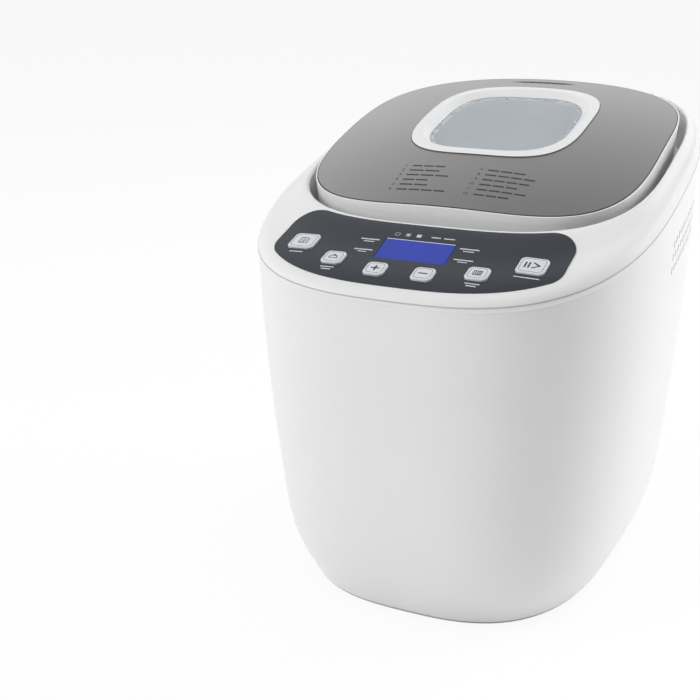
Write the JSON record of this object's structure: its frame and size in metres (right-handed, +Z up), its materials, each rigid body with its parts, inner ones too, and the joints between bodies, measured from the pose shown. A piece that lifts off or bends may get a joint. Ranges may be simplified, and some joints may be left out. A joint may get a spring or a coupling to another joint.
{
  "type": "bread machine",
  "caption": "Household bread machine: tapered white housing, sloped keypad, hinged steel lid with window, and a removable pan with a belt-driven kneading paddle.",
  "frame": {"origin": "on the table under the middle of the machine's bounding box", "axes": "+X to the machine's right as seen by someone facing the keypad, +Y to the rear where the lid is hinged, +Z up"},
  "size_m": [0.2604, 0.3428, 0.3203],
  "materials": {
    "white_plastic": "satin moulded white",
    "grey_plastic": "plain moulded",
    "black_plastic": "plain moulded",
    "key_plastic": "smooth light grey",
    "panel_film": "printed slate film",
    "display_film": "blue display behind clear film",
    "foot_rubber": "moulded",
    "seal_rubber": "silicone",
    "belt_rubber": "ribbed belt",
    "steel_bar": "turned",
    "oven_sheet": "coated sheet",
    "lid_steel": "fine brushed",
    "painted_frame": "satin",
    "pan_coating": "non-stick coating",
    "brass": "sintered",
    "circuit_board": "laminate",
    "ceramic_white": "ceramic",
    "window_glass": "clear"
  },
  "bodies": {
    "housing": {"lower_housing": "white_plastic", "base_plate": "grey_plastic", "foot_1": "foot_rubber", "foot_2": "foot_rubber", "foot_3": "foot_rubber", "foot_4": "foot_rubber", "cord_gland": "black_plastic", "top_housing": "white_plastic", "hinge_pin_left": "steel_bar", "hinge_pin_right": "steel_bar", "panel_overlay": "panel_film", "display_window": "display_film", "display_module": "black_plastic", "control_board": "circuit_board", "key_switches": "black_plastic", "oven_chamber": "oven_sheet", "heating_element": "steel_bar", "heater_stands": "ceramic_white", "temperature_probe": "steel_bar", "pan_seat": "oven_sheet", "drive_frame": "painted_frame", "drive_bearing": "brass", "motor": "painted_frame", "drive_belt": "belt_rubber", "power_board": "circuit_board", "board_stands": "grey_plastic", "motor_capacitor": "black_plastic"},
    "drive_hub": {"drive_shaft": "steel_bar", "drive_coupling": "steel_bar", "drive_pulley": "black_plastic"},
    "motor_rotor": {"motor_shaft": "steel_bar", "motor_pulley": "steel_bar"},
    "pan": {"bread_pan": "pan_coating", "pan_ring": "pan_coating", "pan_bush": "brass", "pivot_left": "steel_bar", "pivot_right": "steel_bar"},
    "spindle": {"pan_spindle": "steel_bar", "pan_coupling": "steel_bar"},
    "paddle": {"kneading_paddle": "pan_coating"},
    "handle": {"pan_handle": "steel_bar"},
    "lid": {"lid_frame": "white_plastic", "lid_plate": "lid_steel", "window_bezel": "white_plastic", "window_glass": "window_glass", "lid_liner": "oven_sheet", "inner_window": "window_glass", "lid_seal": "seal_rubber", "lid_vent": "black_plastic"},
    "key_menu": {"key_menu": "key_plastic"},
    "key_weight": {"key_weight": "key_plastic"},
    "key_plus": {"key_plus": "key_plastic"},
    "key_minus": {"key_minus": "key_plastic"},
    "key_crust": {"key_crust": "key_plastic"},
    "key_start": {"key_start": "key_plastic"}
  },
  "joints": [
    {"name": "lid_hinge", "type": "hinge", "parent": "housing", "child": "lid", "pos_m": [0, 0.141, 0.308], "axis": [-1, 0, 0], "range_deg": [0, 95]},
    {"name": "drive_spin", "type": "hinge", "parent": "housing", "child": "drive_hub", "pos_m": [0, 0.025, 0.06], "axis": [0, 0, 1], "continuous": true},
    {"name": "motor_spin", "type": "hinge", "parent": "housing", "child": "motor_rotor", "pos_m": [0.046, -0.098, 0.03], "axis": [0, 0, 1], "continuous": true},
    {"name": "pan_twist", "type": "hinge", "parent": "housing", "child": "pan", "pos_m": [0, 0.025, 0.06], "axis": [0, 0, 1], "range_deg": [0, 20]},
    {"name": "spindle_spin", "type": "hinge", "parent": "pan", "child": "spindle", "pos_m": [0, 0.025, 0.06], "axis": [0, 0, 1], "continuous": true},
    {"name": "paddle_lift", "type": "slide", "parent": "spindle", "child": "paddle", "axis": [0, 0, 1], "range_m": [0, 0.03]},
    {"name": "handle_fold", "type": "hinge", "parent": "pan", "child": "handle", "pos_m": [0, 0.025, 0.218], "axis": [1, 0, 0], "range_deg": [0, 180]},
    {"name": "press_menu", "type": "slide", "parent": "housing", "child": "key_menu", "axis": [0.0263, 0.2891, -0.9569], "range_m": [0, 0.001], "stiffness_N_per_m": 600},
    {"name": "press_weight", "type": "slide", "parent": "housing", "child": "key_weight", "axis": [0.0079, 0.2829, -0.9591], "range_m": [0, 0.001], "stiffness_N_per_m": 600},
    {"name": "press_plus", "type": "slide", "parent": "housing", "child": "key_plus", "axis": [0.0013, 0.306, -0.952], "range_m": [0, 0.001], "stiffness_N_per_m": 600},
    {"name": "press_minus", "type": "slide", "parent": "housing", "child": "key_minus", "axis": [-0.0013, 0.306, -0.952], "range_m": [0, 0.001], "stiffness_N_per_m": 600},
    {"name": "press_crust", "type": "slide", "parent": "housing", "child": "key_crust", "axis": [-0.0079, 0.2829, -0.9591], "range_m": [0, 0.001], "stiffness_N_per_m": 600},
    {"name": "press_start", "type": "slide", "parent": "housing", "child": "key_start", "axis": [-0.0263, 0.2891, -0.9569], "range_m": [0, 0.001], "stiffness_N_per_m": 600}
  ],
  "couplings": [
    {"joint": "motor_spin", "follows": "drive_spin", "ratio": 5},
    {"joint": "spindle_spin", "follows": "drive_spin", "ratio": 1}
  ]
}
